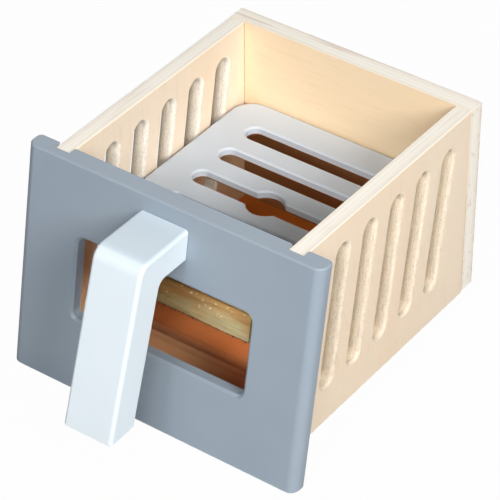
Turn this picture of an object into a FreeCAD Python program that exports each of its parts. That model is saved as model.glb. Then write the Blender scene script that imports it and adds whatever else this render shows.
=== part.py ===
import FreeCAD, Part
import Sketcher
import math
import os
import re

# Basket of a toy air fryer: a plywood drawer with a leaning, glazed front, a bent handle
# and a slotted rack that lifts out.
# X runs across the drawer, the front faces -Y and Z is up. The origin is the middle of the
# box's underside: halfway across, and halfway between the panel's back at the rim and the
# outer back wall.

# Driving dimensions in millimetres and degrees
SIZES = {
    # Leaning front panel, set a little right of the box's middle
    "panel_width": 160.6,
    "panel_aside": 0.3,
    "panel_ply": 9.5,
    "panel_lean": 9.7,
    "panel_rise": 0.6,
    "panel_drop": 7.9,
    "panel_front_round": 4.9,
    "panel_back_round": 3.0,
    "panel_end_bevel": 0.7,
    "dado_depth": 4.8,
    "dado_round": 1.6,
    # Window and its pane
    "window_side_margin": 11.3,
    "window_height": 42.3,
    "window_drop": 36.7,
    "window_corner": 4.0,
    "window_rim_bevel": 1.3,
    "pane_ply": 3.0,
    "pane_lap": 4.0,
    "pane_gap": 0.2,
    # Box
    "box_width": 135.6,
    "box_height": 105.0,
    "box_depth": 137.2,
    "side_ply": 8.5,
    "side_edge_round": 0.6,
    "back_ply": 9.5,
    "back_lift": 0.6,
    "back_corner_round": 0.3,
    "back_end_bevel": 0.2,
    "floor_ply": 2.0,
    "floor_rabbet": 4.0,
    "floor_gap": 0.2,
    # Orange insert on the bottom board, which stops short of the panel
    "insert_ply": 1.2,
    "insert_gap": 0.2,
    "insert_setback": 18.8,
    "insert_front_round": 0.8,
    # Slanted vents. The margins are the box's, to the vents' middles along it and to their
    # ends upright. The rack's slots lie a little ahead of the vents' middles
    "vent_count": 5,
    "vent_front_margin": 20.3,
    "vent_back_margin": 22.6,
    "vent_low_margin": 19.4,
    "vent_top_margin": 12.9,
    "vent_width": 9.0,
    "vent_lean": 9.7,
    "vent_bevel": 1.8,
    # Rack and the cleats that carry it
    "rack_side_gap": 1.8,
    "rack_front_gap": 0.8,
    "rack_back_gap": 1.2,
    "rack_ply": 4.3,
    "rack_top": 63.2,
    "rack_corner": 12.0,
    "rack_outline_bevel": 0.9,
    "rack_slot_bevel": 0.8,
    "rack_slot_width": 10.0,
    "rack_slot_margin": 16.6,
    "rack_slot_ahead": 0.6,
    "finger_hole": 18.4,
    "finger_round": 1.5,
    "cleat_side_gap": 17.1,
    "front_cleat_height": 10.3,
    "ledge_width": 5.0,
    "lip_drop": 1.0,
    "lip_gap": 0.5,
    "rear_cleat_depth": 8.0,
    "rear_cleat_height": 8.5,
    "cleat_bevel": 1.0,
    # Handle, set a little left of the panel's middle
    "handle_width": 26.6,
    "handle_aside": 1.6,
    "handle_arm_thick": 15.7,
    "handle_leg_thick": 16.8,
    "handle_drop": 6.8,
    "handle_reach": 34.6,
    "handle_lean": 17.5,
    "handle_end": 14.9,
    "handle_outer_bend": 8.0,
    "handle_inner_bend": 4.5,
    "handle_round": 1.8,
    "handle_end_bevel": 0.8,
    "handle_root_bevel": 0.6,
    # Screws and dowels
    "screw_shank": 4.0,
    "screw_head": 8.0,
    "screw_length": 27.0,
    "screw_tip": 3.0,
    "screw_drop": 15.5,
    "screw_spacing": 13.0,
    "screw_hole": 4.4,
    "screw_pilot": 3.6,
    "screw_gap": 0.1,
    "dowel_size": 4.0,
    "dowel_gap": 0.1,
    "dowel_in_back": 6.0,
    "dowel_in_side": 9.0,
    "dowel_inset": 18.0,
}

TOLERANCE = 0.01

doc = FreeCAD.newDocument("drawer")
sheet = doc.addObject("Spreadsheet::Sheet", "Sizes")
for row, (alias, value) in enumerate(SIZES.items(), start=1):
    sheet.set("A%d" % row, alias)
    sheet.set("B%d" % row, str(value))
    sheet.setAlias("B%d" % row, alias)
doc.recompute()


def rule(text):
    """Turn a rule written with the plain names of sizes into one that the sheet answers."""
    def from_sheet(match):
        word = match.group(0)
        return "Sizes." + word if word in SIZES else word
    return re.sub(r"[a-z_]+", from_sheet, text)


def bind(thing, prop, text):
    thing.setExpression(prop, rule(text))


# Rules for places that several pieces share
RIM_Y = "-box_depth / 2"
PANEL_THROUGH = "panel_ply / cos(panel_lean)"
INNER_BACK_Y = "box_depth / 2 - back_ply"
INNER_HALF = "(box_width / 2 - side_ply)"
WINDOW_HALF = "(%s - window_side_margin)" % INNER_HALF
VENT_MIDDLE_SPAN = "(box_depth - back_ply - vent_front_margin - vent_back_margin)"
VENT_PITCH = "%s / (vent_count - 1)" % VENT_MIDDLE_SPAN
VENT_RISE = "(box_height - vent_low_margin - vent_top_margin - vent_width)"
VENT_REACH = "%s / 2 / cos(vent_lean)" % VENT_RISE
RACK_HALF = "(%s - rack_side_gap)" % INNER_HALF
RACK_FRONT_Y = "rack_front_gap - box_depth / 2"
FIRST_SLOT_Y = "vent_front_margin - box_depth / 2 - rack_slot_ahead"
RACK_UNDER = "(rack_top - rack_ply)"
HANDLE_TOP = "(box_height - handle_drop)"
CLEAT_LENGTH = "2 * (%s - cleat_side_gap)" % INNER_HALF


def behind_panel(height):
    """Y of the panel's leaning back face at a height."""
    return "%s - (box_height - (%s)) * tan(panel_lean)" % (RIM_Y, height)


def before_panel(height):
    """Y of the panel's leaning front face at a height."""
    return "%s - %s" % (behind_panel(height), PANEL_THROUGH)


def new_body(label):
    body = doc.addObject("PartDesign::Body", label)
    body.Label = label
    return body


def origin_part(body, role):
    return [item for item in body.Origin.OriginFeatures if item.Role == role][0]


def new_sketch(body, name, role, shift=("0", "0", "0"), axis=(0, 0, 1), turn=None):
    """Sketch on an origin plane, moved by rules and turned about an axis by a rule."""
    sketch = body.newObject("Sketcher::SketchObject", name)
    sketch.AttachmentSupport = [(origin_part(body, role), "")]
    sketch.MapMode = "FlatFace"
    if turn:
        sketch.AttachmentOffset = FreeCAD.Placement(
            FreeCAD.Vector(), FreeCAD.Rotation(FreeCAD.Vector(*axis), 1))
        bind(sketch, "AttachmentOffset.Rotation.Angle", turn)
    for letter, text in zip("xyz", shift):
        bind(sketch, "AttachmentOffset.Base." + letter, text)
    return sketch


def leaning_sketch(body, name, depth="0"):
    """Sketch in the panel's plane: x across, y up the slope from the rim, z to the front."""
    shift = (
        "0",
        "box_height + (%s) * sin(panel_lean)" % depth,
        "box_depth / 2 + (%s) * cos(panel_lean)" % depth,
    )
    return new_sketch(body, name, "XZ_Plane", shift, (-1, 0, 0), "panel_lean")


def tie(sketch, kind, geometry, point, text, start):
    """Hold one point's distance from the sketch's origin to a rule."""
    number = sketch.addConstraint(Sketcher.Constraint(kind, -1, 1, geometry, point, start))
    bind(sketch, "Constraints[%d]" % number, text)


def draw_outline(sketch, corners):
    """Closed polygon through corners that are pairs of rules. The first guess is a circle."""
    count = len(corners)
    first = sketch.GeometryCount
    guesses = []
    for index in range(count):
        angle = 2 * math.pi * index / count
        guesses.append(FreeCAD.Vector(50 * math.cos(angle), 50 * math.sin(angle), 0))
    for index in range(count):
        following = guesses[(index + 1) % count]
        sketch.addGeometry(Part.LineSegment(guesses[index], following), False)
    for index in range(count):
        following = first + (index + 1) % count
        sketch.addConstraint(Sketcher.Constraint("Coincident", first + index, 2, following, 1))
    for index, (across, up) in enumerate(corners):
        tie(sketch, "DistanceX", first + index, 1, across, guesses[index].x)
        tie(sketch, "DistanceY", first + index, 1, up, guesses[index].y)


def draw_rectangle(sketch, left, right, low, high):
    draw_outline(sketch, [(left, low), (right, low), (right, high), (left, high)])


def draw_circle(sketch, across, up, diameter):
    number = sketch.addGeometry(
        Part.Circle(FreeCAD.Vector(1, 1, 0), FreeCAD.Vector(0, 0, 1), 1), False)
    tie(sketch, "DistanceX", number, 3, across, 1)
    tie(sketch, "DistanceY", number, 3, up, 1)
    size = sketch.addConstraint(Sketcher.Constraint("Diameter", number, 2))
    bind(sketch, "Constraints[%d]" % size, diameter)


def screw_across(side):
    """X of the handle's left screw, side "-", or of its right one, side empty."""
    return "%sscrew_spacing / 2 - handle_aside" % side


def draw_slot(sketch, reach_rule, reach, width_name):
    """Upright slot with round ends, whose middles are a reach above and below the origin."""
    radius = SIZES[width_name] / 2
    normal = FreeCAD.Vector(0, 0, 1)
    top = Part.Circle(FreeCAD.Vector(0, reach, 0), normal, radius)
    bottom = Part.Circle(FreeCAD.Vector(0, -reach, 0), normal, radius)
    sketch.addGeometry(Part.ArcOfCircle(top, 0, math.pi), False)
    sketch.addGeometry(Part.LineSegment(
        FreeCAD.Vector(-radius, reach, 0), FreeCAD.Vector(-radius, -reach, 0)), False)
    sketch.addGeometry(Part.ArcOfCircle(bottom, math.pi, 2 * math.pi), False)
    sketch.addGeometry(Part.LineSegment(
        FreeCAD.Vector(radius, -reach, 0), FreeCAD.Vector(radius, reach, 0)), False)
    for index in range(4):
        following = (index + 1) % 4
        sketch.addConstraint(Sketcher.Constraint("Tangent", index, 2, following, 1))
    sketch.addConstraint(Sketcher.Constraint("Equal", 0, 2))
    tie(sketch, "DistanceX", 0, 3, "0", 0)
    tie(sketch, "DistanceY", 0, 3, reach_rule, reach)
    tie(sketch, "DistanceX", 2, 3, "0", 0)
    tie(sketch, "DistanceY", 2, 3, "-(%s)" % reach_rule, -reach)
    size = sketch.addConstraint(Sketcher.Constraint("Radius", 0, radius))
    bind(sketch, "Constraints[%d]" % size, width_name + " / 2")


def pad(body, sketch, length, symmetric=False):
    feature = body.newObject("PartDesign::Pad", sketch.Name + "_pad")
    feature.Profile = sketch
    feature.SideType = "Symmetric" if symmetric else "One side"
    bind(feature, "Length", length)
    return feature


def cut(body, sketch, depth=None, forward=False):
    """Pocket through everything, or to a depth. Forward follows the sketch's normal."""
    doc.recompute()
    before = body.Tip.Shape.Volume
    feature = body.newObject("PartDesign::Pocket", sketch.Name + "_cut")
    feature.Profile = sketch
    if depth:
        feature.Reversed = forward
        bind(feature, "Length", depth)
    else:
        feature.Type = "ThroughAll"
        feature.SideType = "Symmetric"
    doc.recompute()
    if feature.Shape.Volume > before - TOLERANCE:
        raise ValueError("%s takes nothing away" % feature.Name)
    return feature


def repeat(body, feature, role, pitch, count):
    """Row of a feature along an origin axis at a pitch."""
    pattern = body.newObject("PartDesign::LinearPattern", feature.Name + "_row")
    pattern.Originals = [feature]
    pattern.Direction = (origin_part(body, role), [""])
    pattern.Mode = "Spacing"
    bind(pattern, "Offset", pitch)
    bind(pattern, "Occurrences", count)
    body.Tip = pattern
    doc.recompute()
    return pattern


def dress_edges(body, kind, name, prop, size, wanted):
    """Fillet or chamfer the edges of the body's last shape that a test picks out."""
    doc.recompute()
    base = body.Tip
    names = []
    for number, edge in enumerate(base.Shape.Edges, start=1):
        if wanted(edge):
            names.append("Edge%d" % number)
    if not names:
        raise ValueError("%s finds no edge" % name)
    feature = body.newObject(kind, name)
    feature.Base = (base, names)
    bind(feature, prop, size)
    doc.recompute()
    return feature


def round_edges(body, name, radius, wanted):
    return dress_edges(body, "PartDesign::Fillet", name, "Radius", radius, wanted)


def bevel_edges(body, name, size, wanted):
    return dress_edges(body, "PartDesign::Chamfer", name, "Size", size, wanted)


def near(first, second):
    return abs(first - second) < TOLERANCE


def along(edge, direction):
    """True for a straight edge that runs along a direction, either way."""
    if edge.Curve.TypeId != "Part::GeomLine":
        return False
    heading = edge.Curve.Direction
    return abs(abs(heading.dot(direction)) - 1) < 1e-6


def level_at(edge, height):
    box = edge.BoundBox
    return near(box.ZMin, height) and near(box.ZMax, height)


# Numbers that the tests on edges and the first guesses need, from the same sizes
lean = math.radians(SIZES["panel_lean"])
slant = math.radians(SIZES["vent_lean"])
inner_half = SIZES["box_width"] / 2 - SIZES["side_ply"]
window_half = inner_half - SIZES["window_side_margin"]
vent_span = (SIZES["box_depth"] - SIZES["back_ply"]
             - SIZES["vent_front_margin"] - SIZES["vent_back_margin"])
vent_pitch = vent_span / (SIZES["vent_count"] - 1)
vent_first_y = SIZES["vent_front_margin"] - SIZES["box_depth"] / 2
vent_rise = (SIZES["box_height"] - SIZES["vent_low_margin"]
             - SIZES["vent_top_margin"] - SIZES["vent_width"])
vent_reach = vent_rise / 2 / math.cos(slant)
vent_middle = SIZES["vent_low_margin"] + (vent_rise + SIZES["vent_width"]) / 2
rack_half = inner_half - SIZES["rack_side_gap"]
ACROSS = FreeCAD.Vector(1, 0, 0)
UPRIGHT = FreeCAD.Vector(0, 0, 1)
UP_SLOPE = FreeCAD.Vector(0, math.sin(lean), math.cos(lean))
TO_FRONT = FreeCAD.Vector(0, -math.cos(lean), math.sin(lean))
RIM_POINT = FreeCAD.Vector(0, -SIZES["box_depth"] / 2, SIZES["box_height"])


def depth_in_panel(point):
    """Distance of a point in front of the panel's back face."""
    return (point - RIM_POINT).dot(TO_FRONT)


def drop_on_panel(point):
    """Distance of a point below the rim, measured down the slope."""
    return -(point - RIM_POINT).dot(UP_SLOPE)


# Front panel: a leaning slab cut level at the top and bottom
def make_front_panel():
    body = new_body("front_panel")
    profile = new_sketch(body, "panel_profile", "YZ_Plane", ("0", "0", "panel_aside"))
    low = "-panel_drop"
    high = "box_height + panel_rise"
    draw_outline(profile, [
        (behind_panel(high), high),
        (before_panel(high), high),
        (before_panel(low), low),
        (behind_panel(low), low),
    ])
    pad(body, profile, "panel_width", symmetric=True)

    half = SIZES["panel_width"] / 2
    middle = SIZES["panel_ply"] / 2
    panel_top = SIZES["box_height"] + SIZES["panel_rise"]

    def side_edge(edge):
        return along(edge, UP_SLOPE) and near(abs(edge.CenterOfMass.x - SIZES["panel_aside"]), half)

    def front_side_edge(edge):
        return side_edge(edge) and depth_in_panel(edge.CenterOfMass) > middle

    def back_side_edge(edge):
        return side_edge(edge) and depth_in_panel(edge.CenterOfMass) < middle

    round_edges(body, "panel_front_rounds", "panel_front_round", front_side_edge)
    round_edges(body, "panel_back_rounds", "panel_back_round", back_side_edge)

    def end_edge(edge):
        return level_at(edge, panel_top) or level_at(edge, -SIZES["panel_drop"])

    bevel_edges(body, "panel_end_bevels", "panel_end_bevel", end_edge)

    window = leaning_sketch(body, "window")
    draw_rectangle(window, "-" + WINDOW_HALF, WINDOW_HALF,
                   "-window_drop - window_height", "-window_drop")
    cut(body, window)

    def window_corner(edge):
        spot = edge.CenterOfMass
        return along(edge, TO_FRONT) and near(abs(spot.x), window_half)

    round_edges(body, "window_corners", "window_corner", window_corner)

    rabbet = leaning_sketch(body, "pane_rabbet")
    draw_rectangle(rabbet, "-%s - pane_lap" % WINDOW_HALF, "%s + pane_lap" % WINDOW_HALF,
                   "-window_drop - window_height - pane_lap", "-window_drop + pane_lap")
    cut(body, rabbet, "pane_ply + pane_gap", forward=True)

    def rabbet_corner(edge):
        spot = edge.CenterOfMass
        return along(edge, TO_FRONT) and near(abs(spot.x), window_half + SIZES["pane_lap"])

    round_edges(body, "rabbet_corners", "window_corner", rabbet_corner)

    def window_rim(edge):
        spot = edge.CenterOfMass
        inside = abs(spot.x) < window_half + TOLERANCE
        drop = drop_on_panel(spot)
        top = SIZES["window_drop"] - TOLERANCE
        low_edge = SIZES["window_drop"] + SIZES["window_height"] + TOLERANCE
        return near(depth_in_panel(spot), SIZES["panel_ply"]) and inside and top < drop < low_edge

    bevel_edges(body, "window_rim_bevels", "window_rim_bevel", window_rim)

    # Dadoes for the two sides, open at the top and stopped level with the box's underside
    stop = "-(box_height + dado_depth * sin(panel_lean)) / cos(panel_lean)"
    for name, inner, outer in (
        ("left_dado", "-" + INNER_HALF, "-box_width / 2"),
        ("right_dado", INNER_HALF, "box_width / 2"),
    ):
        dado = leaning_sketch(body, name)
        draw_rectangle(dado, outer, inner, stop, "panel_ply")
        cut(body, dado, "dado_depth", forward=True)

    def dado_mouth(edge):
        spot = edge.CenterOfMass
        outer_half = SIZES["box_width"] / 2
        at_wall = near(abs(spot.x), outer_half) or near(abs(spot.x), inner_half)
        return along(edge, UP_SLOPE) and at_wall and near(depth_in_panel(spot), 0)

    round_edges(body, "dado_mouths", "dado_round", dado_mouth)

    # Countersunk holes for the handle's screws
    holes = leaning_sketch(body, "screw_holes")
    for side in ("-", ""):
        draw_circle(holes, screw_across(side), "-screw_drop", "screw_hole")
    cut(body, holes)
    for name, side in (("left_sink", "-"), ("right_sink", "")):
        sink = body.newObject("PartDesign::SubtractiveCone", name)
        sink.AttachmentSupport = [(origin_part(body, "XZ_Plane"), "")]
        sink.MapMode = "FlatFace"
        sink.AttachmentOffset = FreeCAD.Placement(
            FreeCAD.Vector(), FreeCAD.Rotation(FreeCAD.Vector(-1, 0, 0), 1))
        bind(sink, "AttachmentOffset.Rotation.Angle", "panel_lean")
        bind(sink, "AttachmentOffset.Base.x", screw_across(side))
        bind(sink, "AttachmentOffset.Base.y", "box_height - screw_drop * cos(panel_lean)")
        bind(sink, "AttachmentOffset.Base.z", "box_depth / 2 + screw_drop * sin(panel_lean)")
        bind(sink, "Radius1", "screw_head / 2 + screw_gap")
        bind(sink, "Radius2", "screw_hole / 2")
        bind(sink, "Height", "(screw_head - screw_hole) / 2 + screw_gap")
        doc.recompute()
    return body


# Side panel: front edge in the panel's dado, back edge against the back panel
def make_side_panel(label, side):
    body = new_body(label)
    outer = side * SIZES["box_width"] / 2
    inner = side * inner_half
    start = "-box_width / 2" if side < 0 else INNER_HALF
    seat = "dado_depth / cos(panel_lean)"
    profile = new_sketch(body, label + "_profile", "YZ_Plane", ("0", "0", start))
    draw_outline(profile, [
        ("%s - %s" % (RIM_Y, seat), "box_height"),
        ("%s - %s" % (behind_panel("0"), seat), "0"),
        (INNER_BACK_Y, "0"),
        (INNER_BACK_Y, "box_height"),
    ])
    pad(body, profile, "side_ply")

    def top_edge(edge):
        return level_at(edge, SIZES["box_height"]) and along(edge, FreeCAD.Vector(0, 1, 0))

    round_edges(body, label + "_rim", "side_edge_round", top_edge)

    # Rabbet along the foot for the bottom board
    rabbet = new_sketch(body, label + "_rabbet", "XZ_Plane")
    sign = "-" if side < 0 else ""
    draw_rectangle(rabbet, "%s(%s + floor_rabbet)" % (sign, INNER_HALF), sign + INNER_HALF,
                   "0", "floor_ply")
    cut(body, rabbet)

    # Vents, slanted like the panel
    vent_shift = (
        "vent_front_margin - box_depth / 2",
        "vent_low_margin + (%s + vent_width) / 2" % VENT_RISE,
        start,
    )
    vent = new_sketch(body, label + "_vent", "YZ_Plane", vent_shift, (0, 0, -1), "vent_lean")
    draw_slot(vent, VENT_REACH, vent_reach, "vent_width")
    vent_cut = cut(body, vent)
    repeat(body, vent_cut, "Y_Axis", VENT_PITCH, "vent_count")

    slot_line = FreeCAD.Vector(0, math.sin(slant), math.cos(slant))
    radius = SIZES["vent_width"] / 2
    middles = []
    for index in range(SIZES["vent_count"]):
        middles.append(FreeCAD.Vector(0, vent_first_y + index * vent_pitch, vent_middle))

    def on_vent_rim(edge, face_x):
        box = edge.BoundBox
        if not (near(box.XMin, face_x) and near(box.XMax, face_x)):
            return False
        for middle in middles:
            offset = edge.CenterOfMass - middle
            offset.x = 0
            slide = max(-vent_reach, min(vent_reach, offset.dot(slot_line)))
            if (offset - slot_line * slide).Length < radius + TOLERANCE:
                return True
        return False

    def vent_rim(edge):
        return on_vent_rim(edge, outer) or on_vent_rim(edge, inner)

    bevel_edges(body, label + "_vent_rims", "vent_bevel", vent_rim)

    # Blind holes in the back end for the corner dowels
    across = sign + "(box_width / 2 - side_ply / 2)"
    holes = new_sketch(body, label + "_dowel_holes", "XZ_Plane", ("0", "0", "-(%s)" % INNER_BACK_Y))
    for height in ("dowel_inset", "box_height - dowel_inset"):
        draw_circle(holes, across, height, "dowel_size + dowel_gap")
    cut(body, holes, "dowel_in_side + dowel_gap", forward=True)
    return body


# Back panel: covers the ends of the sides
def make_back_panel():
    body = new_body("back_panel")
    face = new_sketch(body, "back_face", "XZ_Plane", ("0", "0", "-box_depth / 2"))
    draw_rectangle(face, "-box_width / 2", "box_width / 2", "back_lift", "box_height")
    pad(body, face, "back_ply")
    outer = SIZES["box_depth"] / 2

    def upright_corner(edge):
        return along(edge, UPRIGHT) and near(edge.CenterOfMass.y, outer)

    round_edges(body, "back_corners", "back_corner_round", upright_corner)

    def end_edge(edge):
        at_end = level_at(edge, SIZES["back_lift"]) or level_at(edge, SIZES["box_height"])
        return at_end and edge.CenterOfMass.y > outer - SIZES["back_corner_round"]

    bevel_edges(body, "back_end_bevels", "back_end_bevel", end_edge)

    holes = new_sketch(body, "back_dowel_holes", "XZ_Plane", ("0", "0", "-(%s)" % INNER_BACK_Y))
    for side in ("-", ""):
        for height in ("dowel_inset", "box_height - dowel_inset"):
            across = side + "(box_width / 2 - side_ply / 2)"
            draw_circle(holes, across, height, "dowel_size + dowel_gap")
    cut(body, holes, "dowel_in_back + dowel_gap")
    return body


# Bottom board: thin, let into the feet of the sides, its front edge bevelled to the panel
def make_bottom_board():
    body = new_body("bottom_board")
    profile = new_sketch(body, "board_profile", "YZ_Plane")
    draw_outline(profile, [
        (behind_panel("0"), "0"),
        (INNER_BACK_Y, "0"),
        (INNER_BACK_Y, "floor_ply"),
        (behind_panel("floor_ply"), "floor_ply"),
    ])
    pad(body, profile, "box_width - 2 * (side_ply - floor_rabbet + floor_gap)", symmetric=True)
    return body


# Floor insert: thin board laid on the bottom board, its front edge rounded over
def make_floor_insert():
    body = new_body("floor_insert")
    board = new_sketch(body, "insert_board", "XY_Plane", ("0", "0", "floor_ply"))
    half = "(%s - insert_gap)" % INNER_HALF
    front = RIM_Y + " + insert_setback"
    draw_rectangle(board, "-" + half, half, front, INNER_BACK_Y + " - insert_gap")
    pad(body, board, "insert_ply")
    front_y = SIZES["insert_setback"] - SIZES["box_depth"] / 2
    top = SIZES["floor_ply"] + SIZES["insert_ply"]

    def front_edge(edge):
        return level_at(edge, top) and near(edge.CenterOfMass.y, front_y)

    round_edges(body, "insert_front_edge", "insert_front_round", front_edge)
    return body


# Window pane: clear sheet in the rabbet behind the window
def make_window_pane():
    body = new_body("window_pane")
    face = leaning_sketch(body, "pane_face", "pane_gap")
    lap = "(pane_lap - pane_gap)"
    draw_rectangle(face, "-%s - %s" % (WINDOW_HALF, lap), "%s + %s" % (WINDOW_HALF, lap),
                   "-window_drop - window_height - " + lap, "-window_drop + " + lap)
    pad(body, face, "pane_ply")

    def corner(edge):
        return along(edge, TO_FRONT)

    round_edges(body, "pane_corners", "window_corner", corner)
    return body


# Handle: bent like a 7, its root cut to the panel's slope
def make_handle():
    body = new_body("handle")
    profile = new_sketch(body, "handle_profile", "YZ_Plane", ("0", "0", "-handle_aside"))
    under = HANDLE_TOP + " - handle_arm_thick"
    corner_y = before_panel("box_height") + " - handle_reach"
    slope = "tan(handle_lean)"
    leg_foot = "%s - (%s - handle_end) * %s" % (corner_y, HANDLE_TOP, slope)
    leg_through = "handle_leg_thick / cos(handle_lean)"
    draw_outline(profile, [
        (before_panel(HANDLE_TOP), HANDLE_TOP),
        (corner_y, HANDLE_TOP),
        (leg_foot, "handle_end"),
        ("%s + %s" % (leg_foot, leg_through), "handle_end"),
        ("%s + %s - handle_arm_thick * %s" % (corner_y, leg_through, slope), under),
        (before_panel(under), under),
    ])
    pad(body, profile, "handle_width", symmetric=True)
    doc.recompute()

    top_height = SIZES["box_height"] - SIZES["handle_drop"]
    under_height = top_height - SIZES["handle_arm_thick"]
    root = SIZES["panel_ply"]

    def is_root(edge):
        return near(depth_in_panel(edge.CenterOfMass), root)

    def outer_bend(edge):
        spot = edge.CenterOfMass
        return along(edge, ACROSS) and near(spot.z, top_height) and not is_root(edge)

    def inner_bend(edge):
        spot = edge.CenterOfMass
        return along(edge, ACROSS) and near(spot.z, under_height) and not is_root(edge)

    round_edges(body, "handle_outer_bend_round", "handle_outer_bend", outer_bend)
    round_edges(body, "handle_inner_bend_round", "handle_inner_bend", inner_bend)

    def long_edge(edge):
        on_side = near(edge.BoundBox.XMin, edge.BoundBox.XMax)
        at_end = level_at(edge, SIZES["handle_end"])
        return on_side and not is_root(edge) and not at_end

    round_edges(body, "handle_long_rounds", "handle_round", long_edge)

    def end_edge(edge):
        return level_at(edge, SIZES["handle_end"])

    bevel_edges(body, "handle_end_bevels", "handle_end_bevel", end_edge)
    bevel_edges(body, "handle_root_bevels", "handle_root_bevel", is_root)

    pilots = leaning_sketch(body, "handle_pilots", "panel_ply")
    for side in ("-", ""):
        draw_circle(pilots, screw_across(side), "-screw_drop", "screw_pilot")
    cut(body, pilots, "screw_length - panel_ply", forward=True)
    return body


# Crisper rack: a board with five slots over the vents and a finger hole in the middle one
def make_crisper_rack():
    body = new_body("crisper_rack")
    board = new_sketch(body, "rack_board", "XY_Plane", ("0", "0", RACK_UNDER))
    draw_rectangle(board, "-" + RACK_HALF, RACK_HALF,
                   RACK_FRONT_Y, INNER_BACK_Y + " - rack_back_gap")
    pad(body, board, "rack_ply")

    def upright(edge):
        return along(edge, UPRIGHT)

    round_edges(body, "rack_corners", "rack_corner", upright)

    slot_shift = ("0", FIRST_SLOT_Y, "rack_top")
    slot = new_sketch(body, "rack_slot", "XY_Plane", slot_shift, (0, 0, 1), "90")
    slot_reach = rack_half - SIZES["rack_slot_margin"] - SIZES["rack_slot_width"] / 2
    slot_reach_rule = RACK_HALF + " - rack_slot_margin - rack_slot_width / 2"
    draw_slot(slot, slot_reach_rule, slot_reach, "rack_slot_width")
    slot_cut = cut(body, slot)
    repeat(body, slot_cut, "Y_Axis", VENT_PITCH, "vent_count")

    hole = new_sketch(body, "finger_hole_circle", "XY_Plane", ("0", "0", "rack_top"))
    hole_y = "%s + %s * floor(vent_count / 2)" % (FIRST_SLOT_Y, VENT_PITCH)
    draw_circle(hole, "0", hole_y, "finger_hole")
    cut(body, hole)

    first_slot_y = vent_first_y - SIZES["rack_slot_ahead"]
    hole_middle = first_slot_y + vent_pitch * (SIZES["vent_count"] // 2)
    finger_reach = SIZES["finger_hole"] / 2

    def hole_corner(edge):
        spot = edge.CenterOfMass
        away = math.hypot(spot.x, spot.y - hole_middle)
        return along(edge, UPRIGHT) and near(away, finger_reach)

    round_edges(body, "finger_hole_corners", "finger_round", hole_corner)

    rack_front = SIZES["rack_front_gap"] - SIZES["box_depth"] / 2
    rack_back = SIZES["box_depth"] / 2 - SIZES["back_ply"] - SIZES["rack_back_gap"]

    def on_outline(edge):
        spot = edge.CenterOfMass
        corner = SIZES["rack_corner"]
        across = rack_half - abs(spot.x)
        lengthwise = min(spot.y - rack_front, rack_back - spot.y)
        return min(across, lengthwise) < TOLERANCE or max(across, lengthwise) < corner

    def outline_top(edge):
        return level_at(edge, SIZES["rack_top"]) and on_outline(edge)

    def slot_top(edge):
        return level_at(edge, SIZES["rack_top"]) and not on_outline(edge)

    bevel_edges(body, "rack_outline_bevels", "rack_outline_bevel", outline_top)
    bevel_edges(body, "rack_slot_bevels", "rack_slot_bevel", slot_top)
    return body


# Front cleat: raw strip on the panel's back, with a ledge under the rack and a lip before it
def make_front_rack_cleat():
    body = new_body("front_rack_cleat")
    profile = new_sketch(body, "front_cleat_profile", "YZ_Plane")
    low = RACK_UNDER + " - front_cleat_height"
    lip_top = "rack_top - lip_drop"
    lip_back = RACK_FRONT_Y + " - lip_gap"
    ledge_end = RACK_FRONT_Y + " + ledge_width"
    draw_outline(profile, [
        (behind_panel(low), low),
        (ledge_end, low),
        (ledge_end, RACK_UNDER),
        (lip_back, RACK_UNDER),
        (lip_back, lip_top),
        (behind_panel(lip_top), lip_top),
    ])
    pad(body, profile, CLEAT_LENGTH, symmetric=True)
    return body


# Rear cleat: square strip on the back wall under the rack, its lower edge bevelled
def make_rear_rack_cleat():
    body = new_body("rear_rack_cleat")
    profile = new_sketch(body, "rear_cleat_profile", "YZ_Plane")
    low = RACK_UNDER + " - rear_cleat_height"
    front = INNER_BACK_Y + " - rear_cleat_depth"
    draw_outline(profile, [
        (INNER_BACK_Y, RACK_UNDER),
        (front, RACK_UNDER),
        (front, low + " + cleat_bevel"),
        (front + " + cleat_bevel", low),
        (INNER_BACK_Y, low),
    ])
    pad(body, profile, CLEAT_LENGTH, symmetric=True)
    return body


# Handle screws: countersunk head flush with the panel's back, shank into the handle
def make_handle_screws():
    screw = doc.addObject("PartDesign::Body", "screw")
    profile = new_sketch(screw, "screw_profile", "YZ_Plane")
    draw_outline(profile, [
        ("0", "0"),
        ("screw_head / 2", "0"),
        ("screw_shank / 2", "(screw_head - screw_shank) / 2"),
        ("screw_shank / 2", "screw_length - screw_tip"),
        ("0", "screw_length"),
    ])
    turned = screw.newObject("PartDesign::Revolution", "screw_turned")
    turned.Profile = profile
    turned.ReferenceAxis = (profile, ["V_Axis"])
    turned.Angle = 360
    doc.recompute()

    # The screw's own Z axis is turned to point forward and up, square to the panel
    screw.Placement = FreeCAD.Placement(
        FreeCAD.Vector(), FreeCAD.Rotation(FreeCAD.Vector(1, 0, 0), 80))
    bind(screw, "Placement.Rotation.Angle", "90 - panel_lean")
    bind(screw, "Placement.Base.x", screw_across(""))
    bind(screw, "Placement.Base.y", "%s - screw_drop * sin(panel_lean)" % RIM_Y)
    bind(screw, "Placement.Base.z", "box_height - screw_drop * cos(panel_lean)")
    doc.recompute()
    twin = doc.addObject("Part::Mirroring", "screw_twin")
    twin.Source = screw
    twin.Normal = ACROSS
    bind(twin, "Base.x", "-handle_aside")
    pair = doc.addObject("Part::Compound", "handle_screws")
    pair.Label = "handle_screws"
    pair.Links = [screw, twin]
    return pair


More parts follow.
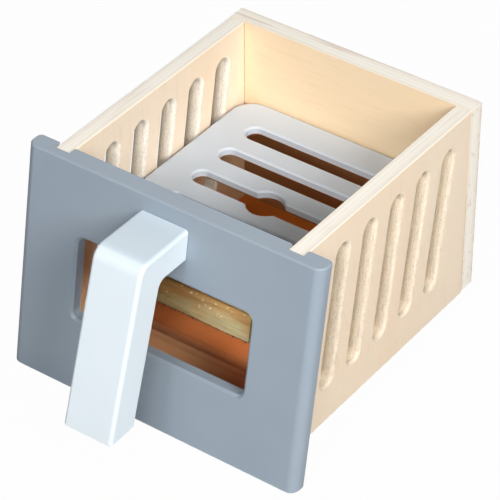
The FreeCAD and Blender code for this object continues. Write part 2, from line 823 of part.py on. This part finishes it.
# Corner dowels: two in each upright joint between the back panel and a side
def make_corner_dowels():
    dowels = []
    for side_name, sign in (("left", "-"), ("right", "")):
        for level_name, height in (("low", "dowel_inset"), ("high", "box_height - dowel_inset")):
            dowel = doc.addObject("Part::Cylinder", "%s_%s_dowel" % (side_name, level_name))
            bind(dowel, "Radius", "dowel_size / 2")
            bind(dowel, "Height", "dowel_in_back + dowel_in_side")
            dowel.Placement = FreeCAD.Placement(
                FreeCAD.Vector(), FreeCAD.Rotation(FreeCAD.Vector(1, 0, 0), 90))
            bind(dowel, "Placement.Base.x", sign + "(box_width / 2 - side_ply / 2)")
            bind(dowel, "Placement.Base.y", INNER_BACK_Y + " + dowel_in_back")
            bind(dowel, "Placement.Base.z", height)
            dowels.append(dowel)
    group = doc.addObject("Part::Compound", "corner_dowels")
    group.Label = "corner_dowels"
    group.Links = dowels
    return group


pieces = [
    make_front_panel(),
    make_side_panel("left_side_panel", -1),
    make_side_panel("right_side_panel", 1),
    make_back_panel(),
    make_bottom_board(),
    make_floor_insert(),
    make_window_pane(),
    make_handle(),
    make_crisper_rack(),
    make_front_rack_cleat(),
    make_rear_rack_cleat(),
    make_handle_screws(),
    make_corner_dowels(),
]
doc.recompute()

# Nothing is written unless every object and every piece is sound
for item in doc.Objects:
    if "Invalid" in item.State or "Error" in item.State:
        raise ValueError("%s did not build: %s" % (item.Name, item.State))
for piece in pieces:
    if piece.Shape.isNull() or not piece.Shape.isValid():
        raise ValueError("%s has no sound shape" % piece.Label)

os.makedirs("parts", exist_ok=True)
for piece in pieces:
    piece.Shape.exportStep("parts/%s.step" % piece.Label)
    box = piece.Shape.BoundBox
    print("%-18s %d solids %10.1f mm3  x %.1f %.1f  y %.1f %.1f  z %.1f %.1f" % (
        piece.Label, len(piece.Shape.Solids), piece.Shape.Volume,
        box.XMin, box.XMax, box.YMin, box.YMax, box.ZMin, box.ZMax))
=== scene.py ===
import math
import random

import bpy
import bmesh
from mathutils import Matrix, Vector


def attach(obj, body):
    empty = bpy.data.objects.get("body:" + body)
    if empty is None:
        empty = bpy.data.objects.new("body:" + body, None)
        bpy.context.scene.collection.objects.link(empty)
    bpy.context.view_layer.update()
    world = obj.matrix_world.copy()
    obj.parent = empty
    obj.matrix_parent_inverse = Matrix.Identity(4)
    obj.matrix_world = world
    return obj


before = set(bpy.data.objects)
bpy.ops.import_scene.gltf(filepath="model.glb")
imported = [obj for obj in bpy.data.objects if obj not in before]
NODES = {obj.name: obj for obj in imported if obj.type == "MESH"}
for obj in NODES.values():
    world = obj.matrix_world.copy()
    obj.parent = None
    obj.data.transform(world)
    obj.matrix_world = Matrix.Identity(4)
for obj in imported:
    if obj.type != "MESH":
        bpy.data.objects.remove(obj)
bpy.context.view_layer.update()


# Places on the part. All lengths in this file are in metres.
BOX_RIM_Z = 0.105
PANEL_BACK_Y = -0.0686            # front panel's back face at the box's rim
PANEL_LEAN = math.radians(9.7)
PANEL_FOOT_Z = -0.0079
HANDLE_TOP_Z = 0.0982
CLEAT_FOOT_Z = 0.0486
SIDE_SPAN_X = (0.0593, 0.0678)    # a side panel's inner and outer face, from the middle
BACK_SPAN_Y = (0.0591, 0.0686)

WHITE = (1, 1, 1, 1)
MIDDLE_BAND = (0.3, 0.7)          # most of a noise's values lie in it
CLOUD_BAND = (0.35, 0.7)

# Sockets of a Mix node set to colours
MIX_FIRST, MIX_SECOND, MIX_RESULT = 6, 7, 2


def light_value(level):
    """Linear value of a display level from 0 to 255."""
    share = level / 255.0
    return share / 12.92 if share <= 0.04045 else ((share + 0.055) / 1.055) ** 2.4


def paint(red, green, blue):
    """Linear colour of three display levels."""
    return (light_value(red), light_value(green), light_value(blue), 1.0)


def add_node(tree, kind, **settings):
    node = tree.nodes.new(kind)
    for key, value in settings.items():
        setattr(node, key, value)
    return node


class Finish:
    """A material's nodes, added one by one and joined through one Principled shader.

    A noise's scale is its cells to the metre. A grain is how much the noise is squeezed along
    each axis, so a small number draws it out along that axis.
    """

    def __init__(self, name):
        self.material = bpy.data.materials.new(name)
        self.material.use_nodes = True
        self.tree = self.material.node_tree
        self.shader = self.tree.nodes["Principled BSDF"]
        self.place = self.add("ShaderNodeTexCoord").outputs["Object"]

    def add(self, kind, **settings):
        return add_node(self.tree, kind, **settings)

    def join(self, source, target):
        self.tree.links.new(source, target)

    def fill(self, socket, value):
        """Give a socket a number, a colour or another node's output. None leaves it alone."""
        if isinstance(value, bpy.types.NodeSocket):
            self.join(value, socket)
        elif value is not None:
            socket.default_value = value

    def stretch(self, grain):
        node = self.add("ShaderNodeMapping")
        self.join(self.place, node.inputs["Vector"])
        node.inputs["Scale"].default_value = grain
        return node.outputs["Vector"]

    def noise(self, scale, grain=None, detail=3.0, rough=0.55, warp=0.0):
        node = self.add("ShaderNodeTexNoise")
        self.join(self.stretch(grain) if grain else self.place, node.inputs["Vector"])
        node.inputs["Scale"].default_value = scale
        node.inputs["Detail"].default_value = detail
        node.inputs["Roughness"].default_value = rough
        node.inputs["Distortion"].default_value = warp
        return node.outputs["Fac"]

    def maths(self, kind, *values):
        node = self.add("ShaderNodeMath", operation=kind)
        for socket, value in zip(node.inputs, values):
            self.fill(socket, value)
        return node.outputs[0]

    def product(self, first, *others):
        for other in others:
            first = self.maths("MULTIPLY", first, other)
        return first

    def axis(self, letter):
        """Position along one axis."""
        node = self.add("ShaderNodeSeparateXYZ")
        self.join(self.place, node.inputs[0])
        return node.outputs["XYZ".index(letter)]

    def from_middle(self, letter):
        """Distance from the middle along one axis."""
        return self.maths("ABSOLUTE", self.axis(letter))

    def between(self, value, low, high, to_low=0.0, to_high=1.0, smooth=True):
        """Map a range to another one and hold the ends. The low end may be above the high."""
        node = self.add("ShaderNodeMapRange",
                        interpolation_type="SMOOTHSTEP" if smooth else "LINEAR")
        self.fill(node.inputs["Value"], value)
        node.inputs["From Min"].default_value = low
        node.inputs["From Max"].default_value = high
        node.inputs["To Min"].default_value = to_low
        node.inputs["To Max"].default_value = to_high
        return node.outputs["Result"]

    def along(self, letter, start, full):
        """Share that is 0 up to one position on an axis and 1 from another one on."""
        return self.between(self.axis(letter), start, full)

    def spread(self, noise, low=0.0, high=1.0):
        """Map the middle band of a noise to a range."""
        return self.between(noise, *MIDDLE_BAND, low, high)

    def blend(self, share, first, second, kind="MIX"):
        node = self.add("ShaderNodeMix", data_type="RGBA", blend_type=kind)
        self.fill(node.inputs["Factor"], share)
        self.fill(node.inputs[MIX_FIRST], first)
        self.fill(node.inputs[MIX_SECOND], second)
        return node.outputs[MIX_RESULT]

    def tint(self, share, tone, colour):
        """Darken a share of a tone by a colour."""
        return self.blend(share, tone, colour, "MULTIPLY")

    def ramp(self, value, stops):
        node = self.add("ShaderNodeValToRGB")
        marks = node.color_ramp.elements
        while len(marks) < len(stops):
            marks.new(0.5)
        for mark, (where, levels) in zip(marks, stops):
            mark.position = where
            mark.color = paint(*levels)
        self.fill(node.inputs["Fac"], value)
        return node.outputs["Color"]

    def bump(self, height, strength, distance, under=None):
        node = self.add("ShaderNodeBump")
        node.inputs["Strength"].default_value = strength
        node.inputs["Distance"].default_value = distance
        self.fill(node.inputs["Height"], height)
        self.fill(node.inputs["Normal"], under)
        return node.outputs["Normal"]

    def dress(self, colour, rough, normal=None, **constants):
        """Fill the shader's own sockets and hand back the material."""
        self.fill(self.shader.inputs["Base Color"], colour)
        self.fill(self.shader.inputs["Roughness"], rough)
        self.fill(self.shader.inputs["Normal"], normal)
        for key, value in constants.items():
            self.shader.inputs[key.replace("_", " ")].default_value = value
        return self.material


# Paint
def painted(name, colour, darker, marks, rough=0.42):
    """Sprayed lacquer over wood: a soft waviness, a fine skin and faint clouds of colour."""
    finish = Finish(name)
    clouds = finish.noise(22.0, detail=2.0)
    # marks adds each piece's painted shade to the tone
    tone = marks(finish, finish.blend(finish.between(clouds, *CLOUD_BAND), colour, darker))
    skin = finish.noise(900.0, detail=2.0)
    waves = finish.noise(60.0)
    relief = finish.bump(waves, 0.10, 0.0006)
    relief = finish.bump(skin, 0.06, 0.0002, relief)
    sheen = finish.spread(finish.noise(140.0, detail=2.0), rough - 0.04, rough + 0.05)
    return finish.dress(tone, sheen, relief, Specular_IOR_Level=0.4)


def sill_painted_shade(finish, tone):
    """Window's lower rim, a little darker than the panel's face: painted shade."""
    above_foot = finish.along("Z", 0.0272, 0.0275)
    below_top = finish.along("Z", 0.0290, 0.0286)
    off_ends = finish.between(finish.from_middle("X"), 0.0478, 0.0470)
    rim = finish.product(above_foot, below_top, off_ends)
    return finish.tint(rim, tone, paint(240, 240, 239))


def crown_painted_shade(finish, tone):
    """Level top face of the handle, a little greyer: painted shade."""
    top = finish.along("Z", HANDLE_TOP_Z - 0.0008, HANDLE_TOP_Z - 0.0002)
    return finish.tint(top, tone, paint(238, 242, 245))


def rack_painted_shade(finish, tone):
    """Rack: painted shade towards its front right corner and along its lower edges."""
    # Painted shade towards the front right corner
    front_right_shade = finish.product(finish.along("X", -0.034, 0.016), finish.along("Y", 0.026, -0.004))
    tone = finish.tint(front_right_shade, tone, paint(206, 204, 202))
    # Painted shade: the lower edges take the dark brown of the shaded space under the rack
    bare = finish.along("Z", 0.05965, 0.05945)
    return finish.blend(bare, tone, paint(122, 76, 44))


# Plywood. Depth through a board runs from 0 at its inner face to 1 at its outer one.
PLY_MARKS = [
    (0.00, (250, 236, 214)), (0.10, (244, 234, 219)), (0.18, (239, 230, 215)),
    (0.27, (250, 244, 233)), (0.38, (247, 241, 230)), (0.44, (240, 233, 221)),
    (0.52, (249, 243, 231)), (0.62, (245, 237, 224)), (0.69, (238, 229, 216)),
    (0.76, (242, 235, 222)), (0.83, (230, 221, 208)), (0.90, (238, 229, 216)),
    (1.00, (246, 236, 221)),
]


def veneer(finish, depth, figure, fibre, lacquer, under_rack_shade):
    """Lacquered faces, the inner one darkened under the rack as painted shade."""
    inner, outer = lacquer
    tone = finish.blend(finish.between(depth, 0.4, 0.6), paint(*inner), paint(*outer))
    tone = finish.blend(finish.between(figure, 0.35, 0.75, 0.0, 0.20), tone, paint(228, 194, 150))
    tone = finish.blend(finish.between(fibre, 0.5, 0.8, 0.0, 0.20), tone, paint(216, 180, 138))
    shade_tint = finish.blend(finish.spread(figure, 0.8, 1.0), WHITE, paint(*under_rack_shade))
    # Painted shade on the inner face under the rack
    under_rack = finish.along("Z", 0.0592, 0.0572)
    inner_face = finish.between(depth, 0.5, 0.4)
    return finish.tint(finish.product(under_rack, inner_face), tone, shade_tint)


def sawn_edge(finish, depth, is_back):
    """Wavering plies, dusted pale and flecked along the board."""
    grain = (0.12, 1, 1) if is_back else (1, 0.12, 1)
    long_grain = (0.07, 1, 1) if is_back else (1, 0.07, 1)
    wobble = finish.between(finish.noise(46.0, grain, detail=4.0), 0.25, 0.75, -0.075, 0.075,
                            smooth=False)
    tone = finish.ramp(finish.maths("ADD", depth, wobble), PLY_MARKS)
    dust = finish.noise(420.0, grain, detail=4.0, rough=0.7)
    tone = finish.blend(finish.between(dust, 0.35, 0.65, 0.0, 0.45), tone, paint(248, 241, 228))
    flecks = finish.noise(230.0, long_grain, rough=0.6)
    most = 0.55 if is_back else 0.30
    tone = finish.blend(finish.between(flecks, 0.56, 0.68, 0.0, most), tone, paint(212, 192, 174))
    if is_back:
        # Brown outermost ply
        outer_ply = finish.product(finish.between(depth, 0.88, 0.94),
                                   finish.between(flecks, 0.42, 0.56, 0.35, 0.9))
        tone = finish.blend(outer_ply, tone, paint(208, 188, 170))
    return tone


def vent_walls(finish, depth, inner, outer, turn):
    """Vents' walls: one colour towards each face, with thin brown streaks along each ply."""
    sawn = finish.blend(finish.between(depth, *turn), paint(*inner), paint(*outer))
    streaks = finish.noise(1500.0, (1.3, 0.06, 0.06), rough=0.75)
    pores = finish.noise(1500.0, (1, 1, 0.5), detail=2.0, rough=0.6)
    grit = finish.product(finish.between(streaks, 0.34, 0.58, 0.80, 1.0),
                          finish.between(pores, 0.36, 0.56, 0.86, 1.0))
    brown = finish.add("ShaderNodeCombineColor")
    for socket, level in zip(brown.inputs[:3], (1.0, 0.985, 0.96)):
        finish.join(finish.product(grit, level), socket)
    return finish.tint(1.0, sawn, brown.outputs[0])


def plywood(name, across, span, grain, lacquer, under_rack_shade, vents=None):
    """Birch plywood as a solid, lacquered on its faces, with bare plies wherever it was cut.

    across is the axis through the board and span holds its two faces there. lacquer is the
    colours of the inner and the outer face; the next argument is the painted shade on the inner
    one under the rack.
    """
    finish = Finish(name)
    depth = finish.between(finish.from_middle(across), *span, smooth=False)
    figure = finish.noise(24.0, grain, detail=4.0, rough=0.6, warp=0.4)
    fibre = finish.noise(420.0, grain)
    faces = veneer(finish, depth, figure, fibre, lacquer, under_rack_shade)
    plies = sawn_edge(finish, depth, across == "Y")
    if vents:
        on_rim = finish.along("Z", 0.1030, 0.1036)
        plies = finish.blend(on_rim, vent_walls(finish, depth, **vents), plies)
        # Shadow line in the upright corner with the back panel
        corner_shadow_line = finish.product(finish.along("Y", 0.0584, 0.0588),
                               finish.between(depth, 0.5, 0.4))
        faces = finish.blend(corner_shadow_line, faces, paint(176, 146, 104))
    off_core = finish.maths("ABSOLUTE", finish.maths("SUBTRACT", depth, 0.5))
    tone = finish.blend(finish.between(off_core, 0.468, 0.486), plies, faces)
    relief = finish.bump(figure, 0.06, 0.0003)
    relief = finish.bump(fibre, 0.05, 0.0002, relief)
    relief = finish.bump(finish.noise(700.0), 0.12, 0.0003, relief)
    return finish.dress(tone, finish.spread(figure, 0.52, 0.64), relief, Specular_IOR_Level=0.3)


# Bare wood, and boards with painted shade
def raw_wood(name, torn_and_shaded_foot=False):
    """Sawn softwood strip: long fibres, golden at the top, with a few pale specks on its upper
    part.
    """
    finish = Finish(name)
    fibre = finish.noise(260.0, (0.12, 1.2, 1.2), detail=6.0, rough=0.7, warp=0.4)
    pale = finish.ramp(fibre, [
        (0.30, (150, 134, 96)), (0.50, (184, 168, 126)), (0.72, (204, 190, 150))])
    gold = finish.ramp(fibre, [
        (0.30, (146, 108, 58)), (0.50, (186, 142, 84)), (0.72, (212, 174, 114))])
    blots = finish.noise(75.0, detail=4.0, rough=0.6)
    blot_height = 0.007
    ragged = finish.maths("MULTIPLY_ADD", finish.spread(blots, -0.5, 0.5), blot_height,
                          finish.axis("Z"))
    tone = finish.blend(finish.between(ragged, 0.0505, 0.0585), pale, gold)
    # Painted shadow of the handle, darker to the left
    handle_shadow = finish.along("X", 0.036, 0.002)
    tone = finish.tint(handle_shadow, tone, paint(182, 168, 150))
    specks = finish.between(finish.noise(760.0, detail=0.0), 0.78, 0.82, 0.0, 0.5)
    upper_half = finish.along("Z", 0.0535, 0.0550)
    tone = finish.blend(finish.product(specks, upper_half), tone, paint(232, 212, 168))
    if torn_and_shaded_foot:
        # Dark ragged line along the strip's lower corner: ragged fibres, dark as painted shade of
        # the corner facing down
        rag_height = -0.0006
        ragged = finish.maths("MULTIPLY_ADD", finish.noise(420.0), rag_height, finish.axis("Z"))
        foot_shade_mask = finish.between(ragged, CLEAT_FOOT_Z + 0.00015, CLEAT_FOOT_Z - 0.00005)
        tone = finish.blend(foot_shade_mask, tone, paint(72, 28, 8))
    return finish.dress(tone, 0.75, finish.bump(fibre, 0.5, 0.0005), Specular_IOR_Level=0.2)


def orange_gloss(name):
    """Orange paint, with painted shade to the left and towards the insert's front edge."""
    finish = Finish(name)
    clouds = finish.noise(40.0)
    tone = finish.blend(finish.between(clouds, *CLOUD_BAND),
                        paint(255, 152, 84), paint(248, 138, 70))
    # Painted shadow, darker to the left
    tone = finish.tint(finish.along("X", -0.0150, -0.0400), tone, paint(176, 164, 138))
    tone = finish.blend(finish.along("Y", -0.0320, -0.0060), tone, paint(216, 122, 48))
    # Painted shade, darkest at the insert's front edge
    edge_shade = finish.along("Y", -0.0432, -0.0500)
    tone = finish.blend(edge_shade, tone, paint(96, 30, 4))
    relief = finish.bump(finish.noise(70.0), 0.08, 0.0006)
    sheen = finish.spread(finish.noise(150.0), 0.40, 0.50)
    return finish.dress(tone, sheen, relief, Specular_IOR_Level=0.3)


def floor_board_shade(name):
    """Bottom board coloured brown as painted shade and orange bounce light, lighter to the left
    and darker to the right, with the grain showing.
    """
    finish = Finish(name)
    grain = finish.noise(60.0, (0.12, 1, 1), detail=5.0, rough=0.65)
    left = finish.blend(finish.spread(grain), paint(250, 194, 146), paint(228, 164, 114))
    right = finish.blend(finish.spread(grain), paint(194, 112, 64), paint(168, 88, 44))
    tone = finish.blend(finish.along("X", -0.020, 0.026), left, right)
    # Painted shadow at and under the insert's front edge
    insert_edge_shadow = finish.along("Y", -0.0512, -0.0498)
    tone = finish.blend(insert_edge_shadow, tone, paint(66, 20, 2))
    return finish.dress(tone, finish.spread(grain, 0.6, 0.7), finish.bump(grain, 0.2, 0.0003),
                        Specular_IOR_Level=0.25)


def torn_wood(name):
    """Ripped fibres with dark end grain, the darkness painted shade under the strip's corner."""
    finish = Finish(name)
    fibre = finish.noise(800.0, (1, 1, 0.2))
    tone = finish.blend(fibre, paint(48, 16, 4), paint(86, 40, 16))
    return finish.dress(tone, finish.spread(fibre, 0.7, 0.85), finish.bump(fibre, 0.3, 0.0002),
                        Specular_IOR_Level=0.2)


# Other materials
def clear_sheet(name):
    """Clear sheet with hardly any glare."""
    finish = Finish(name)
    haze = finish.noise(30.0, detail=2.0)
    tone = finish.blend(finish.spread(haze), WHITE, (0.97, 0.98, 0.98, 1))
    return finish.dress(tone, finish.spread(haze, 0.0, 0.02), Transmission_Weight=1.0, IOR=1.08,
                        Alpha=0.3)


def steel(name):
    finish = Finish(name)
    brushed = finish.noise(900.0)
    tone = finish.blend(brushed, (0.62, 0.62, 0.64, 1), (0.48, 0.48, 0.5, 1))
    return finish.dress(tone, finish.spread(brushed, 0.25, 0.4),
                        finish.bump(brushed, 0.1, 0.0001), Metallic=1.0)


def dried_glue(name):
    finish = Finish(name)
    haze = finish.noise(900.0, detail=2.0)
    tone = finish.blend(haze, paint(244, 232, 200), paint(214, 190, 140))
    return finish.dress(tone, finish.spread(haze, 0.2, 0.35), finish.bump(haze, 0.1, 0.0001))


# A board's inner face is a little lighter than its outer one, the back's warmer too: painted
# bounce light inside the box
SIDE = {"across": "X", "span": SIDE_SPAN_X, "grain": (1, 1, 0.14), "under_rack_shade": (244, 222, 196),
        "lacquer": ((243, 225, 202), (239, 221, 198))}
BACK = {"across": "Y", "span": BACK_SPAN_Y, "grain": (0.12, 1, 1), "under_rack_shade": (162, 124, 84),
        "lacquer": ((249, 224, 188), (239, 221, 198))}
# Vent walls in pale end grain, set lighter still against the shade inside the vents: painted
# light, the right wall's lightest towards its inner face
LEFT_VENTS = {"inner": (253, 244, 230), "outer": (250, 238, 218), "turn": (0.30, 0.70)}
RIGHT_VENTS = {"inner": (252, 236, 208), "outer": (246, 231, 210), "turn": (0.45, 0.75)}

LOOKS = {
    "front_panel": painted("panel_paint", paint(147, 159, 170), paint(144, 156, 168), sill_painted_shade),
    "left_side_panel": plywood("ply_left", vents=LEFT_VENTS, **SIDE),
    "right_side_panel": plywood("ply_right", vents=RIGHT_VENTS, **SIDE),
    "back_panel": plywood("ply_back", **BACK),
    "bottom_board": floor_board_shade("floor_shade_paint"),
    "floor_insert": orange_gloss("orange_paint"),
    "window_pane": clear_sheet("clear_sheet"),
    "handle": painted("white_paint", paint(218, 228, 234), paint(216, 226, 232), crown_painted_shade,
                      rough=0.6),
    "crisper_rack": painted("grey_paint", paint(198, 205, 213), paint(194, 202, 210),
                            rack_painted_shade),
    "front_rack_cleat": raw_wood("raw_wood", torn_and_shaded_foot=True),
    "rear_rack_cleat": raw_wood("raw_wood_rear"),
    "handle_screws": steel("screw_steel"),
    "corner_dowels": raw_wood("dowel_wood"),
}

# Corners sharper than this many degrees stay crisp. Pieces with small bevels have their own.
CORNER_ANGLE = 50
CRISP_ANGLES = {"crisper_rack": 32, "front_panel": 32}
WELD_DISTANCE = 0.00002
FLAT_ANGLE = 0.4


def dress_node(name, look):
    """Give a CAD node its look and smooth its curved faces, but not its corners."""
    node = NODES[name]
    if not node.data.materials:
        node.data.materials.append(look)
    for index in range(len(node.data.materials)):
        node.data.materials[index] = look
    for face in node.data.polygons:
        face.use_smooth = True
    weld = node.modifiers.new("weld", "WELD")
    weld.merge_threshold = WELD_DISTANCE
    flats = node.modifiers.new("flats", "DECIMATE")
    flats.decimate_type = "DISSOLVE"
    flats.angle_limit = math.radians(FLAT_ANGLE)
    corners = node.modifiers.new("corners", "EDGE_SPLIT")
    corners.split_angle = math.radians(CRISP_ANGLES.get(name, CORNER_ANGLE))
    soften = node.modifiers.new("soften", "WEIGHTED_NORMAL")
    soften.weight = 50


# Small pieces that ride on the drawer
def new_piece(name, form, look):
    mesh = bpy.data.meshes.new(name)
    bmesh.ops.recalc_face_normals(form, faces=form.faces)
    form.to_mesh(mesh)
    form.free()
    piece = bpy.data.objects.new(name, mesh)
    bpy.context.scene.collection.objects.link(piece)
    mesh.materials.append(look)
    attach(piece, "drawer")


def panel_back(height):
    """Y of the front panel's back face at a height."""
    return PANEL_BACK_Y - (BOX_RIM_Z - height) * math.tan(PANEL_LEAN)


def make_splinters():
    """Torn fibres along the lower front edge of the front cleat: three-sided slivers."""
    first_x, last_x = -0.0418, 0.0410
    widths = (0.0005, 0.0017)
    drops = (0.0003, 0.0012)
    thicknesses = (0.0005, 0.0009)
    tip_shares = (0.25, 0.75)
    step_shares = (0.8, 1.5)
    dice = random.Random(7)
    form = bmesh.new()
    front = panel_back(CLEAT_FOOT_Z) + 0.0001
    root = CLEAT_FOOT_Z + 0.0003
    where = first_x
    while where < last_x:
        width = dice.uniform(*widths)
        drop = dice.uniform(*drops)
        back = front + dice.uniform(*thicknesses)
        tip = where + width * dice.uniform(*tip_shares)
        outline = [(where, root), (where + width, root), (tip, CLEAT_FOOT_Z - drop)]
        near_side = [form.verts.new((across, front, height)) for across, height in outline]
        far_side = [form.verts.new((across, back, height)) for across, height in outline]
        form.faces.new(near_side)
        form.faces.new(far_side)
        for one, two in ((0, 1), (1, 2), (2, 0)):
            form.faces.new((near_side[one], near_side[two], far_side[two], far_side[one]))
        where += width * dice.uniform(*step_shares)
    new_piece("cleat_splinters", form, torn_wood("splinter_wood"))


def make_glue_beads():
    """Beads of glue pressed out between the cleat and the pane, half sunk in the cleat."""
    spots = [(0.0162, 0.0595), (0.0232, 0.0604), (0.0296, 0.0612), (0.0320, 0.0601),
             (0.0386, 0.0613), (0.0098, 0.0606), (0.0205, 0.0571), (0.0268, 0.0557)]
    sizes = (0.00025, 0.00045)
    tilts = (-0.5, 0.1)
    half_thickness = 0.00016
    off_cleat = 0.00002
    dice = random.Random(3)
    form = bmesh.new()
    for across, height in spots:
        size = dice.uniform(*sizes)
        place = Matrix.Translation((across, panel_back(height) - off_cleat, height))
        turn = (Matrix.Rotation(-PANEL_LEAN, 4, "X")
                @ Matrix.Rotation(dice.uniform(*tilts), 4, "Y"))
        shape = Matrix.Diagonal((size * 1.7, half_thickness, size * 0.8, 1.0))
        bmesh.ops.create_icosphere(form, subdivisions=2, radius=1.0, matrix=place @ turn @ shape)
    new_piece("glue_beads", form, dried_glue("dried_glue"))


# Studio
FLOOR_REACH = 3.0
FLOOR_GLOW = 0.98                 # share of the floor that the camera sees as plain white

LAMP_DISTANCE = 1.7
LAMP_AIM = (0, 0, 0.04)
# Name, azimuth and elevation in degrees, diameter, power in watts. Azimuth 0 is before the
# panel and 90 to its right.
LAMPS = [
    ("front", 5, 35, 0.45, 6.2),
    ("key", 25, 35, 0.45, 7.8),
    ("right", 65, 35, 0.70, 24.4),
    ("high", 0, 80, 0.45, 3.8),
    ("behind", 212, 12, 1.2, 9.0),
]

SKY_COLOUR = (0.96, 0.98, 1.0, 1)
SKY_STRENGTH = 0.01

# Camera at the photograph's angle
CAMERA_PLACE = (0.5908, -0.8354, 0.8252)
CAMERA_RIGHT = Vector((0.811619, 0.584186, 0.001167))
CAMERA_DOWN = Vector((0.357585, -0.495217, -0.791765))
CAMERA_FORWARD = Vector((-0.461961, 0.643029, -0.610824))
LENS_MM = 199.4
SENSOR_MM = 36.0
LENS_SHIFT = (-0.01408, -0.01318)
CLIP_END = 50


def show_white(finish, share):
    """Show the camera a share of plain white in place of the surface."""
    ray = finish.add("ShaderNodeLightPath")
    glow = finish.add("ShaderNodeEmission")
    glow.inputs["Strength"].default_value = 1.0
    mixed = finish.add("ShaderNodeMixShader")
    finish.join(finish.product(ray.outputs["Is Camera Ray"], share), mixed.inputs["Fac"])
    finish.join(finish.shader.outputs[0], mixed.inputs[1])
    finish.join(glow.outputs[0], mixed.inputs[2])
    finish.join(mixed.outputs[0], finish.tree.nodes["Material Output"].inputs["Surface"])


def make_floor():
    mesh = bpy.data.meshes.new("floor")
    form = bmesh.new()
    bmesh.ops.create_grid(form, x_segments=1, y_segments=1, size=FLOOR_REACH)
    bmesh.ops.translate(form, verts=form.verts, vec=(0, 0, PANEL_FOOT_Z))
    form.to_mesh(mesh)
    form.free()
    floor = bpy.data.objects.new("floor", mesh)
    bpy.context.scene.collection.objects.link(floor)
    finish = Finish("floor_white")
    tone = finish.blend(finish.noise(3.0), (0.40, 0.40, 0.40, 1), (0.42, 0.42, 0.42, 1))
    mesh.materials.append(finish.dress(tone, 0.9, Specular_IOR_Level=0.0))
    show_white(finish, FLOOR_GLOW)


def make_lamp(name, azimuth, elevation, size, power):
    """Disk lamp on a sphere round the object, turned towards it."""
    turn = math.radians(azimuth)
    climb = math.radians(elevation)
    place = (LAMP_DISTANCE * math.sin(turn) * math.cos(climb),
             -LAMP_DISTANCE * math.cos(turn) * math.cos(climb),
             LAMP_DISTANCE * math.sin(climb))
    data = bpy.data.lights.new(name, "AREA")
    data.shape = "DISK"
    data.size = size
    data.energy = power
    light = bpy.data.objects.new(name, data)
    light.location = place
    light.rotation_euler = (Vector(LAMP_AIM) - Vector(place)).to_track_quat("-Z", "Y").to_euler()
    bpy.context.scene.collection.objects.link(light)


def make_world():
    """Faint light all round, seen as plain white by the camera, in mirrors and through glass."""
    world = bpy.data.worlds.new("studio")
    bpy.context.scene.world = world
    world.use_nodes = True
    tree = world.node_tree
    tree.nodes.clear()
    ray = add_node(tree, "ShaderNodeLightPath")
    mirrored = add_node(tree, "ShaderNodeMath", operation="MAXIMUM")
    shown = add_node(tree, "ShaderNodeMath", operation="MAXIMUM")
    plain = add_node(tree, "ShaderNodeBackground")
    plain.inputs["Color"].default_value = WHITE
    plain.inputs["Strength"].default_value = 1.0
    faint = add_node(tree, "ShaderNodeBackground")
    faint.inputs["Color"].default_value = SKY_COLOUR
    faint.inputs["Strength"].default_value = SKY_STRENGTH
    chosen = add_node(tree, "ShaderNodeMixShader")
    out = add_node(tree, "ShaderNodeOutputWorld")
    for source, target in (
        (ray.outputs["Is Glossy Ray"], mirrored.inputs[0]),
        (ray.outputs["Is Transmission Ray"], mirrored.inputs[1]),
        (ray.outputs["Is Camera Ray"], shown.inputs[0]),
        (mirrored.outputs[0], shown.inputs[1]),
        (shown.outputs[0], chosen.inputs["Fac"]),
        (faint.outputs[0], chosen.inputs[1]),
        (plain.outputs[0], chosen.inputs[2]),
        (chosen.outputs[0], out.inputs["Surface"]),
    ):
        tree.links.new(source, target)


def make_camera():
    view = bpy.data.cameras.new("camera")
    view.lens = LENS_MM
    view.sensor_width = SENSOR_MM
    view.shift_x, view.shift_y = LENS_SHIFT
    view.clip_end = CLIP_END
    camera = bpy.data.objects.new("camera", view)
    camera.location = CAMERA_PLACE
    rows = Matrix((CAMERA_RIGHT, -CAMERA_DOWN, -CAMERA_FORWARD))
    camera.rotation_euler = rows.transposed().to_euler()
    scene = bpy.context.scene
    scene.collection.objects.link(camera)
    scene.camera = camera
    scene.view_settings.view_transform = "Standard"


for name, look in LOOKS.items():
    dress_node(name, look)
make_splinters()
make_glue_beads()
make_floor()
for row in LAMPS:
    make_lamp(*row)
make_world()
make_camera()
